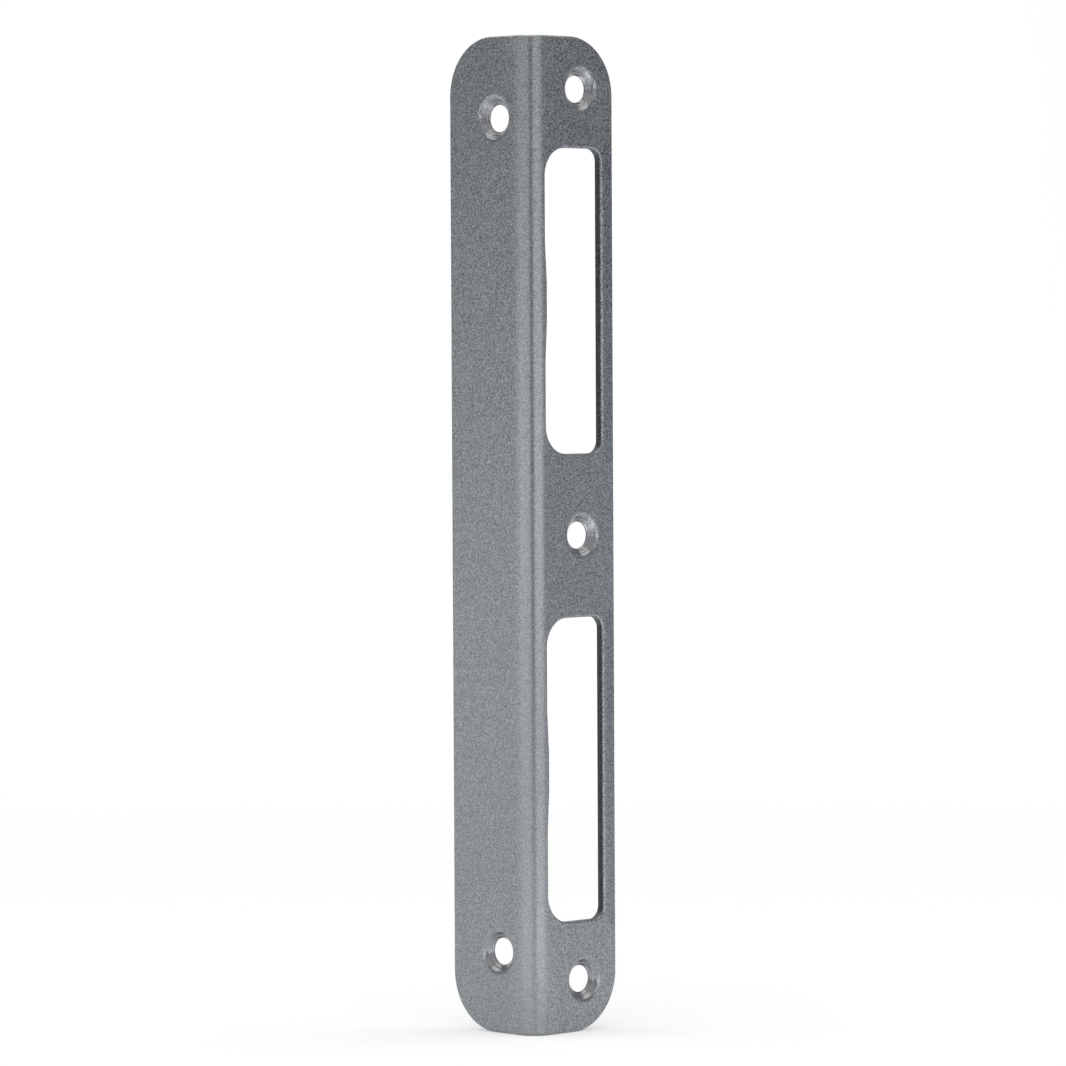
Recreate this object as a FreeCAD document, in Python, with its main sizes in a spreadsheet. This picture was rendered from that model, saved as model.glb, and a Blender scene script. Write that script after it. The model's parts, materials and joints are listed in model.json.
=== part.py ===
"""Angle strike plate for a door frame: one strip of sheet steel, punched flat and folded once.

The model is drawn with the sharp outer corner of the fold on the Z axis. The window leg runs along +X
with its outer face on y = 0, and the plain leg runs along +Y with its outer face on x = 0. The finished
plate is then placed so that its origin is the centre of the middle screw hole, on the face that seats
against the frame.
"""
import FreeCAD, Part
import math
import os
import Sketcher

# Driving sizes in millimetres, and one angle in degrees
SIZES = [
    ("plate_length", 170.0, "height of the plate along its fold"),
    ("window_leg_width", 19.8, "outer corner of the fold to the window leg's free edge"),
    ("plain_leg_width", 19.8, "outer corner of the fold to the plain leg's free edge"),
    ("sheet_thickness", 1.5, "stock thickness"),
    ("bend_inner_radius", 1.5, "inside radius of the fold"),
    ("leg_corner_radius", 10.0, "rounded free corners of both legs"),
    ("edge_roll_radius", 0.4, "edges that the punch rolled over, on the outer face only"),
    ("window_bend_gap", 0.65, "flat strip between the fold and a window"),
    ("window_outer_rail", 2.95, "metal between a window and the window leg's free edge"),
    ("window_end_land", 19.0, "end of the plate to the nearer window"),
    ("window_bridge", 28.0, "metal between the two windows"),
    ("window_bend_corner_radius", 4.8, "window corners beside the fold"),
    ("window_outer_corner_radius", 2.2, "window corners beside the free edge"),
    ("swell_height", 0.43, "how far a window's fold-side edge swells into the window"),
    ("swell_radius", 115.0, "radius of that swell"),
    ("swell_blend_radius", 12.0, "radius that leads the straight edge into the swell"),
    ("screw_hole_diameter", 4.6, "straight wall of a screw hole"),
    ("countersink_angle", 90.0, "full angle of the countersink"),
    ("countersink_land", 0.15, "straight wall left below the countersink"),
    ("countersink_rim_radius", 1.2, "soft rim where the pressed countersink meets the outer face"),
    ("window_leg_hole_edge", 7.8, "screw holes to the window leg's free edge"),
    ("window_leg_hole_end", 8.9, "outer screw holes to the plate's ends, window leg"),
    ("plain_leg_hole_corner", 8.8, "screw holes to the outer corner of the fold, plain leg"),
    ("plain_leg_hole_end", 13.9, "screw holes to the plate's ends, plain leg"),
]
SIZE = {name: value for name, value, note in SIZES}

# Outside radius of the fold, which the edge pickers and the first drawing of a sketch need as a number
FOLD_RADIUS = SIZE["bend_inner_radius"] + SIZE["sheet_thickness"]

# Formulas that several features share, in the words of the size sheet
BEND_OUTER = "(Sizes.bend_inner_radius + Sizes.sheet_thickness)"
WINDOW_NEAR_X = f"({BEND_OUTER} + Sizes.window_bend_gap)"
WINDOW_FAR_X = "(Sizes.window_leg_width - Sizes.window_outer_rail)"
WINDOW_TOP = "(Sizes.plate_length / 2 - Sizes.window_end_land)"
WINDOW_FOOT = "(Sizes.window_bridge / 2)"
WINDOW_MIDDLE = f"(({WINDOW_TOP} + {WINDOW_FOOT}) / 2)"
SWELL_CENTRE_DEPTH = f"(Sizes.swell_radius - Sizes.swell_height - {WINDOW_NEAR_X})"
WINDOW_LEG_HOLE_X = "(Sizes.window_leg_width - Sizes.window_leg_hole_edge)"
WINDOW_LEG_HOLE_Z = "(Sizes.plate_length / 2 - Sizes.window_leg_hole_end)"
PLAIN_LEG_HOLE_Y = "Sizes.plain_leg_hole_corner"
PLAIN_LEG_HOLE_Z = "(Sizes.plate_length / 2 - Sizes.plain_leg_hole_end)"
HOLE_RADIUS = "Sizes.screw_hole_diameter / 2"
CONE_DEPTH = "(Sizes.sheet_thickness - Sizes.countersink_land)"
CONE_SPREAD = f"2 * {CONE_DEPTH} * tan(Sizes.countersink_angle * 1deg / 2)"
COUNTERSINK_DIAMETER = f"Sizes.screw_hole_diameter + {CONE_SPREAD}"

# The rolled edge of a window takes at most this share of the flat strip between it and the fold
ROLL_SHARE = 0.9
ROLL_RADIUS = f"min(Sizes.edge_roll_radius; {ROLL_SHARE} * Sizes.window_bend_gap)"

# Point numbers in a sketch's constraints, and the numbers of its own axes. Its origin is where the X axis
# starts, so the two share a number.
START, END, CENTRE = range(1, 4)
X_AXIS, Y_AXIS = range(-1, -3, -1)
ORIGIN = X_AXIS

# Distance under which two places count as the same when edges are picked
NEAR = 1e-4


def make_size_sheet(document):
    """Spreadsheet with one named cell for each driving size."""
    sheet = document.addObject("Spreadsheet::Sheet", "Sizes")
    for row, (name, value, note) in enumerate(SIZES, start=1):
        sheet.set(f"A{row}", name)
        sheet.set(f"B{row}", str(value))
        sheet.set(f"C{row}", note)
        sheet.setAlias(f"B{row}", name)
    document.recompute()


def origin_plane(body, role):
    """One of the body's own origin planes."""
    return next(feature for feature in body.Origin.OriginFeatures if feature.Role == role)


def new_sketch(body, name, role):
    """Empty sketch on one of the body's origin planes."""
    sketch = body.newObject("Sketcher::SketchObject", name)
    sketch.AttachmentSupport = [(origin_plane(body, role), "")]
    sketch.MapMode = "FlatFace"
    return sketch


def draw_line(sketch, start, end):
    """Straight edge, returned as its number in the sketch."""
    line = Part.LineSegment(FreeCAD.Vector(*start, 0), FreeCAD.Vector(*end, 0))
    return sketch.addGeometry(line, False)


def draw_circle(sketch, centre, radius):
    """Circle, returned as its number in the sketch."""
    circle = Part.Circle(FreeCAD.Vector(*centre, 0), FreeCAD.Vector(0, 0, 1), radius)
    return sketch.addGeometry(circle, False)


def draw_arc(sketch, centre, radius, first_degrees, last_degrees):
    """Arc that runs anticlockwise from the first angle to the last, as its number in the sketch."""
    circle = Part.Circle(FreeCAD.Vector(*centre, 0), FreeCAD.Vector(0, 0, 1), radius)
    arc = Part.ArcOfCircle(circle, math.radians(first_degrees), math.radians(last_degrees))
    return sketch.addGeometry(arc, False)


def constrain(sketch, kind, *where):
    """Geometric constraint with no dimension."""
    sketch.addConstraint(Sketcher.Constraint(kind, *where))


def dimension(sketch, kind, name, formula, drawn, *where):
    """Dimension that follows a formula of the size sheet, started from its drawn value."""
    number = sketch.addConstraint(Sketcher.Constraint(kind, *where, drawn))
    sketch.renameConstraint(number, name)
    sketch.setExpression(f"Constraints.{name}", formula)


def draw_leg_section(body):
    """Section of the folded sheet across its length: two legs and two arcs about one centre."""
    inner = SIZE["bend_inner_radius"]
    thick = SIZE["sheet_thickness"]
    outer = FOLD_RADIUS
    window_leg = SIZE["window_leg_width"]
    plain_leg = SIZE["plain_leg_width"]
    sketch = new_sketch(body, "leg_section", "XY_Plane")
    window_face = draw_line(sketch, (outer, 0), (window_leg, 0))
    window_end = draw_line(sketch, (window_leg, 0), (window_leg, thick))
    window_back = draw_line(sketch, (window_leg, thick), (outer, thick))
    inner_bend = draw_arc(sketch, (outer, outer), inner, 180, 270)
    plain_back = draw_line(sketch, (thick, outer), (thick, plain_leg))
    plain_end = draw_line(sketch, (thick, plain_leg), (0, plain_leg))
    plain_face = draw_line(sketch, (0, plain_leg), (0, outer))
    outer_bend = draw_arc(sketch, (outer, outer), outer, 180, 270)
    corners = (
        (window_face, window_end),
        (window_end, window_back),
        (plain_back, plain_end),
        (plain_end, plain_face),
    )
    for first, second in corners:
        constrain(sketch, "Coincident", first, END, second, START)
    constrain(sketch, "Tangent", window_back, END, inner_bend, END)
    constrain(sketch, "Tangent", inner_bend, START, plain_back, START)
    constrain(sketch, "Tangent", plain_face, END, outer_bend, START)
    constrain(sketch, "Tangent", outer_bend, END, window_face, START)
    for level in (window_face, window_back, plain_end):
        constrain(sketch, "Horizontal", level)
    for upright in (window_end, plain_back, plain_face):
        constrain(sketch, "Vertical", upright)
    constrain(sketch, "Coincident", inner_bend, CENTRE, outer_bend, CENTRE)
    constrain(sketch, "PointOnObject", window_face, START, X_AXIS)
    constrain(sketch, "PointOnObject", plain_face, START, Y_AXIS)
    dimension(sketch, "DistanceX", "window_leg", "Sizes.window_leg_width", window_leg,
              ORIGIN, START, window_face, END)
    dimension(sketch, "DistanceY", "plain_leg", "Sizes.plain_leg_width", plain_leg,
              ORIGIN, START, plain_face, START)
    dimension(sketch, "Distance", "thickness", "Sizes.sheet_thickness", thick, window_end)
    dimension(sketch, "Radius", "inside_radius", "Sizes.bend_inner_radius", inner, inner_bend)
    return sketch


def draw_window(body):
    """Upper window in the window leg's outer face. Its corners beside the fold are the larger ones, and its
    fold-side edge swells a little into the window: an arc, led in and out by a small arc at each end."""
    near = FOLD_RADIUS + SIZE["window_bend_gap"]
    far = SIZE["window_leg_width"] - SIZE["window_outer_rail"]
    foot = SIZE["window_bridge"] / 2
    top = SIZE["plate_length"] / 2 - SIZE["window_end_land"]
    middle = (foot + top) / 2
    near_corner = SIZE["window_bend_corner_radius"]
    far_corner = SIZE["window_outer_corner_radius"]
    crest = SIZE["swell_radius"]
    blend = SIZE["swell_blend_radius"]
    rise = SIZE["swell_height"]
    # The two circles touch where the line between their centres crosses them
    reach = math.sqrt(2 * (crest + blend) * rise - rise ** 2)
    turn = math.degrees(math.asin(reach / (crest + blend)))
    sketch = new_sketch(body, "window_outline", "XZ_Plane")
    lower_edge = draw_line(sketch, (near, foot + near_corner), (near, middle - reach))
    lower_blend = draw_arc(sketch, (near + blend, middle - reach), blend, 180 - turn, 180)
    swell = draw_arc(sketch, (near + rise - crest, middle), crest, -turn, turn)
    upper_blend = draw_arc(sketch, (near + blend, middle + reach), blend, 180, 180 + turn)
    upper_edge = draw_line(sketch, (near, middle + reach), (near, top - near_corner))
    top_near = draw_arc(sketch, (near + near_corner, top - near_corner), near_corner, 90, 180)
    top_edge = draw_line(sketch, (near + near_corner, top), (far - far_corner, top))
    top_far = draw_arc(sketch, (far - far_corner, top - far_corner), far_corner, 0, 90)
    far_edge = draw_line(sketch, (far, top - far_corner), (far, foot + far_corner))
    foot_far = draw_arc(sketch, (far - far_corner, foot + far_corner), far_corner, 270, 360)
    foot_edge = draw_line(sketch, (far - far_corner, foot), (near + near_corner, foot))
    foot_near = draw_arc(sketch, (near + near_corner, foot + near_corner), near_corner, 180, 270)
    joins = (
        (lower_edge, END, lower_blend, END),
        (lower_blend, START, swell, START),
        (swell, END, upper_blend, END),
        (upper_blend, START, upper_edge, START),
        (upper_edge, END, top_near, END),
        (top_near, START, top_edge, START),
        (top_edge, END, top_far, END),
        (top_far, START, far_edge, START),
        (far_edge, END, foot_far, END),
        (foot_far, START, foot_edge, START),
        (foot_edge, END, foot_near, END),
        (foot_near, START, lower_edge, START),
    )
    for join in joins:
        constrain(sketch, "Tangent", *join)
    for upright in (lower_edge, upper_edge, far_edge):
        constrain(sketch, "Vertical", upright)
    for level in (top_edge, foot_edge):
        constrain(sketch, "Horizontal", level)
    constrain(sketch, "Vertical", lower_edge, END, upper_edge, START)
    for first, second in ((top_near, foot_near), (top_far, foot_far), (lower_blend, upper_blend)):
        constrain(sketch, "Equal", first, second)
    dimension(sketch, "DistanceX", "near_edge", WINDOW_NEAR_X, near, ORIGIN, START, lower_edge, START)
    dimension(sketch, "DistanceX", "far_edge", WINDOW_FAR_X, far, ORIGIN, START, far_edge, START)
    dimension(sketch, "DistanceY", "foot", WINDOW_FOOT, foot, ORIGIN, START, foot_edge, START)
    dimension(sketch, "DistanceY", "top", WINDOW_TOP, top, ORIGIN, START, top_edge, START)
    dimension(sketch, "Radius", "near_corner", "Sizes.window_bend_corner_radius", near_corner, top_near)
    dimension(sketch, "Radius", "far_corner", "Sizes.window_outer_corner_radius", far_corner, top_far)
    dimension(sketch, "Radius", "blend", "Sizes.swell_blend_radius", blend, lower_blend)
    dimension(sketch, "Radius", "swell", "Sizes.swell_radius", crest, swell)
    dimension(sketch, "DistanceY", "swell_middle", WINDOW_MIDDLE, middle, ORIGIN, START, swell, CENTRE)
    dimension(sketch, "DistanceX", "swell_depth", SWELL_CENTRE_DEPTH, crest - rise - near,
              swell, CENTRE, ORIGIN, START)
    return sketch


def draw_screw_holes(body, name, role, across, heights):
    """One circle for each screw hole of a leg. across and each height are a formula with its drawn value,
    and each height has a side first: +1 above the middle of the leg, -1 below it and 0 on it."""
    sketch = new_sketch(body, name, role)
    radius = SIZE["screw_hole_diameter"] / 2
    across_formula, across_drawn = across
    for number, (side, formula, drawn) in enumerate(heights, start=1):
        circle = draw_circle(sketch, (across_drawn, side * drawn), radius)
        dimension(sketch, "Radius", f"hole_{number}", HOLE_RADIUS, radius, circle)
        dimension(sketch, "DistanceX", f"across_{number}", across_formula, across_drawn,
                  ORIGIN, START, circle, CENTRE)
        if side > 0:
            dimension(sketch, "DistanceY", f"above_{number}", formula, drawn,
                      ORIGIN, START, circle, CENTRE)
        elif side < 0:
            dimension(sketch, "DistanceY", f"below_{number}", formula, drawn,
                      circle, CENTRE, ORIGIN, START)
        else:
            constrain(sketch, "PointOnObject", circle, CENTRE, X_AXIS)
    return sketch


def pick_edges(feature, wanted):
    """Names of the feature's edges for which wanted(edge) holds."""
    edges = enumerate(feature.Shape.Edges, start=1)
    return [f"Edge{number}" for number, edge in edges if wanted(edge)]


def round_edges(body, name, feature, wanted, radius_formula):
    """Fillet on the picked edges of the last feature."""
    fillet = body.newObject("PartDesign::Fillet", name)
    fillet.Base = (feature, pick_edges(feature, wanted))
    fillet.setExpression("Radius", radius_formula)
    body.Document.recompute()
    print_cut(name, feature, fillet)
    return fillet


def is_leg_corner(edge):
    """Short edge through the sheet's thickness, at a free corner of a leg."""
    middle = edge.CenterOfMass
    at_end = abs(abs(middle.z) - SIZE["plate_length"] / 2) < NEAR
    through_window_leg = abs(middle.x - SIZE["window_leg_width"]) < NEAR
    through_plain_leg = abs(middle.y - SIZE["plain_leg_width"]) < NEAR
    return at_end and (through_window_leg or through_plain_leg)


def depth_in_sheet(place):
    """Distance of a place below the sheet's outer skin, which is flat on each leg and round in the fold."""
    if place.x < FOLD_RADIUS and place.y < FOLD_RADIUS:
        return FOLD_RADIUS - math.hypot(place.x - FOLD_RADIUS, place.y - FOLD_RADIUS)
    return min(place.x, place.y)


def is_outer_rim(edge):
    """Edge on the outer skin that bounds the metal. The two lines where the fold begins are left out."""
    middle = edge.valueAt((edge.FirstParameter + edge.LastParameter) / 2)
    ends = [vertex.Point for vertex in edge.Vertexes]
    on_skin = all(abs(depth_in_sheet(place)) < NEAR for place in ends + [middle])
    on_fold_line = abs(middle.x + middle.y - FOLD_RADIUS) < NEAR and abs(middle.x * middle.y) < NEAR
    return on_skin and not (on_fold_line and abs(middle.z) < NEAR)


def is_countersink_rim(edge):
    """Circle in which a countersink's cone meets a leg's outer face."""
    if not isinstance(edge.Curve, Part.Circle):
        return False
    half_angle = math.radians(SIZE["countersink_angle"] / 2)
    cone_depth = SIZE["sheet_thickness"] - SIZE["countersink_land"]
    radius = SIZE["screw_hole_diameter"] / 2 + cone_depth * math.tan(half_angle)
    on_skin = abs(depth_in_sheet(edge.Curve.Center)) < NEAR
    return on_skin and abs(edge.Curve.Radius - radius) < NEAR


def fold_strip(body):
    """The folded strip with square corners, as long as the plate."""
    section = draw_leg_section(body)
    strip = body.newObject("PartDesign::Pad", "folded_strip")
    strip.Profile = section
    strip.SideType = "Symmetric"
    strip.setExpression("Length", "Sizes.plate_length")
    body.Document.recompute()
    return strip


def punch_windows(body, feature):
    """Latch and bolt windows, the lower one a mirror image of the upper one."""
    window = body.newObject("PartDesign::Pocket", "upper_window")
    window.Profile = draw_window(body)
    window.Type = "ThroughAll"
    body.Document.recompute()
    print_cut("upper_window", feature, window)
    windows = body.newObject("PartDesign::Mirrored", "both_windows")
    windows.Originals = [window]
    windows.MirrorPlane = (origin_plane(body, "XY_Plane"), [""])
    body.Tip = windows
    body.Document.recompute()
    print_cut("both_windows", window, windows)
    return windows


def press_countersunk_holes(body, name, feature, circles, inward):
    """Screw holes with their countersinks, from the outer face through the leg. inward is True where the
    sketch's own direction points into the metal."""
    hole = body.newObject("PartDesign::Hole", name)
    hole.Profile = circles
    hole.Reversed = inward
    hole.Threaded = False
    hole.DepthType = "ThroughAll"
    hole.DrillPoint = "Flat"
    hole.setExpression("Diameter", "Sizes.screw_hole_diameter")
    hole.HoleCutType = "Countersink"
    hole.setExpression("HoleCutDiameter", COUNTERSINK_DIAMETER)
    hole.setExpression("HoleCutCountersinkAngle", "Sizes.countersink_angle")
    body.Document.recompute()
    print_cut(name, feature, hole)
    return hole


def press_window_leg_holes(body, feature):
    """Three screw holes in the window leg: one on the bridge between the windows and one at each end."""
    across = (WINDOW_LEG_HOLE_X, SIZE["window_leg_width"] - SIZE["window_leg_hole_edge"])
    height = SIZE["plate_length"] / 2 - SIZE["window_leg_hole_end"]
    heights = [(1, WINDOW_LEG_HOLE_Z, height), (0, "0", 0.0), (-1, WINDOW_LEG_HOLE_Z, height)]
    circles = draw_screw_holes(body, "window_leg_circles", "XZ_Plane", across, heights)
    return press_countersunk_holes(body, "window_leg_holes", feature, circles, False)


def press_plain_leg_holes(body, feature):
    """Two screw holes in the plain leg, nearer the middle of the plate than those of the window leg."""
    across = (PLAIN_LEG_HOLE_Y, SIZE["plain_leg_hole_corner"])
    height = SIZE["plate_length"] / 2 - SIZE["plain_leg_hole_end"]
    heights = [(1, PLAIN_LEG_HOLE_Z, height), (-1, PLAIN_LEG_HOLE_Z, height)]
    circles = draw_screw_holes(body, "plain_leg_circles", "YZ_Plane", across, heights)
    return press_countersunk_holes(body, "plain_leg_holes", feature, circles, True)


def make_strike_plate(document):
    """The whole plate, from the folded strip to the rounded rims of its countersinks."""
    body = document.addObject("PartDesign::Body", "strike_plate")
    body.Label = "strike_plate"
    strip = fold_strip(body)
    corners = round_edges(body, "leg_corners", strip, is_leg_corner, "Sizes.leg_corner_radius")
    windows = punch_windows(body, corners)
    rolled = round_edges(body, "rolled_edges", windows, is_outer_rim, ROLL_RADIUS)
    window_leg_holes = press_window_leg_holes(body, rolled)
    all_holes = press_plain_leg_holes(body, window_leg_holes)
    round_edges(body, "countersink_rims", all_holes, is_countersink_rim, "Sizes.countersink_rim_radius")
    body.setExpression("Placement.Base.x", f"-{WINDOW_LEG_HOLE_X}")
    body.setExpression("Placement.Base.y", "-Sizes.sheet_thickness")
    document.recompute()
    return body


def print_cut(what, before, after):
    """Metal that a feature took away, which must be more than nothing."""
    removed = before.Shape.Volume - after.Shape.Volume
    print(f"{what}: {removed:.2f} cubic mm removed")
    if removed < NEAR:
        raise ValueError(f"{what} removed no metal")


def check(document, bodies):
    """Stops before anything is written if a feature failed or a body is empty or broken."""
    for item in document.Objects:
        if "Invalid" in item.State or "Error" in item.State:
            raise ValueError(f"{item.Name} failed: {item.State}")
    for body in bodies:
        if body.Shape.isNull() or not body.Shape.isValid():
            raise ValueError(f"{body.Label} has no valid shape")
        print(body.Label, f"volume {body.Shape.Volume:.1f} cubic mm", body.Shape.BoundBox)


document = FreeCAD.newDocument("StrikePlate")
make_size_sheet(document)
bodies = [make_strike_plate(document)]
check(document, bodies)
os.makedirs("parts", exist_ok=True)
for body in bodies:
    body.Shape.exportStep(f"parts/{body.Label}.step")
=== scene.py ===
# %% [markdown]
# # Angle strike plate for a door frame
#
# The object is one strip of bright zinc-coated sheet steel. A press punches its outline, two windows and
# five holes while it is flat, squeezes the countersinks into the holes, and then folds the strip once
# along its length. It screws to the corner of a door frame: the latch and the bolt go into the windows.
#
# This lesson follows the press. The blank is drawn flat, each punched edge gets the profile that a punch
# leaves, the flat skins are filled in, and one formula folds the lot. Then come the zinc, the studio and
# the camera. All sizes are metres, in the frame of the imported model.

# %% Load the frame
import bpy
import json
import math
import numpy as np
from mathutils import Matrix, Vector
from mathutils.geometry import delaunay_2d_cdt


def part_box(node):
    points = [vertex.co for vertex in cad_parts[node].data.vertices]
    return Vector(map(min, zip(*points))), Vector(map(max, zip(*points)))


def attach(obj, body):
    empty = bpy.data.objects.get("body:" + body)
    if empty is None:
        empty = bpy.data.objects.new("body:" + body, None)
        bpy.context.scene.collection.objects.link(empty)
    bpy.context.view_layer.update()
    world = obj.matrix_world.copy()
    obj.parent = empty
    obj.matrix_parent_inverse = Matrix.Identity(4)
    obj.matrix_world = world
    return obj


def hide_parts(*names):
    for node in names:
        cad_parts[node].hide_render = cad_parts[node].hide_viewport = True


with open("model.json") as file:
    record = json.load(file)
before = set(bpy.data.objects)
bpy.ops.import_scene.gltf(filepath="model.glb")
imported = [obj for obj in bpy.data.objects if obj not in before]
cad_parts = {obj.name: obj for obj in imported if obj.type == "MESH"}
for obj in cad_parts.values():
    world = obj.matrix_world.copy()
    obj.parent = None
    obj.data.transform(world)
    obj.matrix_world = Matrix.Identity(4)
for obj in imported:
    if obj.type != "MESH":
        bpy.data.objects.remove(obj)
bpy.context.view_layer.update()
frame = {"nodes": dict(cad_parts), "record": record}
NODE = "strike_plate"
print("nodes:", sorted(frame["nodes"]))

# %% [markdown]
# ## Sizes
#
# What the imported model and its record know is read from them, so the plate here can't drift away from the
# construction: the leg widths and the length from the node's box, the screw holes from the mounts. The
# rest are the sizes of the tools that made the plate, such as the fold's radius and the window punch.

# %% Sizes of the plate
low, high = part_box(NODE)
MM = 0.001
CORNER_X, CORNER_Y = low.x, low.y
THICKNESS = -low.y
HALF_LENGTH = high.z
WINDOW_LEG_WIDTH = high.x - low.x
PLAIN_LEG_WIDTH = high.y - low.y
LEG_CORNER_RADIUS = 10.0 * MM
FOLD_INNER = 1.5 * MM
FOLD_OUTER = FOLD_INNER + THICKNESS

WINDOW_GAP = 0.65 * MM
WINDOW_RAIL = 2.95 * MM
WINDOW_END_LAND = 19.0 * MM
WINDOW_BRIDGE = 28.0 * MM
WINDOW_FOLD_CORNER = 4.8 * MM
WINDOW_EDGE_CORNER = 2.2 * MM
SWELL_HEIGHT = 0.43 * MM
SWELL_RADIUS = 115.0 * MM
SWELL_BLEND = 12.0 * MM

mounts = {mount["name"]: mount for mount in frame["record"]["mounts"]}
end_screws = mounts["window_leg_screws"]
side_screws = mounts["plain_leg_screws"]
HOLE_RADIUS = end_screws["dims"]["hole_r_mm"] * MM
WINDOW_LEG_HOLE_X = end_screws["pos_m"][0]
WINDOW_LEG_HOLE_Z = end_screws["dims"]["spacing_y_mm"] * MM / 2
PLAIN_LEG_HOLE_Y = side_screws["pos_m"][1]
PLAIN_LEG_HOLE_Z = side_screws["dims"]["spacing_y_mm"] * MM / 2
print(f"legs {WINDOW_LEG_WIDTH / MM:.2f} and {PLAIN_LEG_WIDTH / MM:.2f} mm, sheet {THICKNESS / MM:.2f} mm")

# %% [markdown]
# ## Folding the blank
#
# A folded sheet is easiest to draw flat. A place in the blank has three numbers: s, measured on the outer
# skin across the strip with zero at the middle of the fold, z along the strip, and the depth below the
# outer skin. Folding rolls the middle of the strip round a quarter turn and leaves the two legs straight.
# Because it is one formula on whole arrays, every edge and face drawn later folds in the same way, and
# so do the directions in which the surfaces face.

# %% The fold
HALF_TURN = math.pi / 4
FOLD_REACH = FOLD_OUTER * HALF_TURN
FOLD_CENTRE = (CORNER_X + FOLD_OUTER, CORNER_Y + FOLD_OUTER)
DRAW_IN = 0.12 * MM
DRAW_REACH = 2.6 * MM
PLAIN_LEG_SHARPNESS = 2.2
WINDOW_LEG_SHARPNESS = 3.8


def fold_directions(s):
    """Turn of the skin at s, the outward direction there and the direction in which s grows.

    The turn is s over the outer radius, held between minus and plus 45 degrees. Outward is the radius of
    the fold at that turn, and the direction of s is that radius turned a quarter."""
    turn = np.clip(s / FOLD_OUTER, -HALF_TURN, HALF_TURN)
    angle = turn + HALF_TURN
    outward = np.stack([-np.cos(angle), -np.sin(angle)], axis=-1)
    along = np.stack([np.sin(angle), -np.cos(angle)], axis=-1)
    return turn, outward, along


def fold(places):
    """Places (s, z, depth) of the blank on the folded plate: the fold's centre, plus the outward direction
    times what is left of the outer radius, plus the straight run of s beyond the fold. The outer skin is
    stretched round the fold, so it gets shorter along it: z shrinks by a small share, most at the middle of
    the fold (a squared cosine of s) and not at all at the inner skin."""
    s, z, depth = places[..., 0], places[..., 1], places[..., 2]
    stretched = np.cos(math.pi / 2 * np.clip(s / DRAW_REACH, -1, 1)) ** 2 * (1 - depth / THICKNESS)
    z = z * (1 - DRAW_IN / HALF_LENGTH * stretched)
    turn, outward, along = fold_directions(s)
    run = s - turn * FOLD_OUTER
    flat = np.array(FOLD_CENTRE) + outward * (FOLD_OUTER - depth)[..., None] + along * run[..., None]
    return np.concatenate([flat, z[..., None]], axis=-1)


def fold_normals(s, normals):
    """Directions (along s, along z, into the depth) of the blank, turned with the sheet at s. The die lets
    go of a leg softly: a turn of u = s over the fold's reach becomes u / (1 + u^n)^(1/n), which gets close
    to one gradually. The smaller n is, the further the softness runs out into the leg."""
    reach = np.abs(s) / FOLD_REACH
    sharpness = np.where(s < 0, PLAIN_LEG_SHARPNESS, WINDOW_LEG_SHARPNESS)
    turn = np.sign(s) * FOLD_REACH * reach / (1 + reach ** sharpness) ** (1 / sharpness)
    outward, along = fold_directions(turn)[1:]
    flat = along * normals[..., 0:1] - outward * normals[..., 2:3]
    return np.concatenate([flat, normals[..., 1:2]], axis=-1)


def window_leg_s(x):
    """Place across the blank of a place on the window leg, which runs along +X."""
    return x - CORNER_X - FOLD_OUTER + FOLD_REACH


def plain_leg_s(y):
    """Place across the blank of a place on the plain leg, which runs along +Y."""
    return -(y - CORNER_Y - FOLD_OUTER + FOLD_REACH)


blank_left = plain_leg_s(high.y)
blank_right = window_leg_s(high.x)
blank_width = blank_right - blank_left
print(f"flat blank {blank_width / MM:.2f} by {2 * HALF_LENGTH / MM:.1f} mm on the outer skin")

# %% [markdown]
# ## Outlines
#
# Every cut in the plate is a closed outline made of straight lines and arcs, as a punch is ground. An
# outline is stored as two arrays: its points, and at each point the direction from the metal into the
# air. Straight edges need only the ends of their neighbouring arcs. The plate's own outline also gets
# points where it crosses the fold, so that it can bend there.

# %% Arcs and outlines
ARC_STEP = math.radians(3.0)
FEWEST_ARC_POINTS = 4
SAME_PLACE = 1e-6
FOLD_COLUMNS = 25


def arc(centre, radius, first_degrees, last_degrees, air=1):
    """Points on an arc and the direction from metal to air at each, which is the radius times air."""
    first, last = math.radians(first_degrees), math.radians(last_degrees)
    count = max(FEWEST_ARC_POINTS, int(abs(last - first) / ARC_STEP) + 1)
    angle = np.linspace(first, last, count)
    radial = np.stack([np.cos(angle), np.sin(angle)], axis=1)
    return np.array(centre) + radius * radial, air * radial


def join(*pieces):
    """One outline from pieces that follow each other. Where two share an end, one point is left out."""
    points = np.concatenate([piece[0] for piece in pieces])
    directions = np.concatenate([piece[1] for piece in pieces])
    apart = np.linalg.norm(points - np.roll(points, 1, axis=0), axis=1) > SAME_PLACE
    return points[apart], directions[apart]


def mirror_outline(outline):
    """The outline upside down, still run round the same way."""
    flip = np.array([1, -1])
    return outline[0][::-1] * flip, outline[1][::-1] * flip


def plate_outline():
    """Rounded rectangle of the blank, anticlockwise, with points where its ends cross the fold."""
    radius = LEG_CORNER_RADIUS
    right, left = blank_right - radius, blank_left + radius
    top = HALF_LENGTH - radius
    across = np.linspace(FOLD_REACH, -FOLD_REACH, FOLD_COLUMNS)
    edge = np.full(FOLD_COLUMNS, HALF_LENGTH)
    upward = np.stack([np.zeros(FOLD_COLUMNS), np.ones(FOLD_COLUMNS)], axis=1)
    top_crossing = (np.stack([across, edge], axis=1), upward)
    foot_crossing = (np.stack([across[::-1], -edge], axis=1), -upward)
    return join(
        arc((right, top), radius, 0, 90),
        top_crossing,
        arc((left, top), radius, 90, 180),
        arc((left, -top), radius, 180, 270),
        foot_crossing,
        arc((right, -top), radius, 270, 360),
    )


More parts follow.
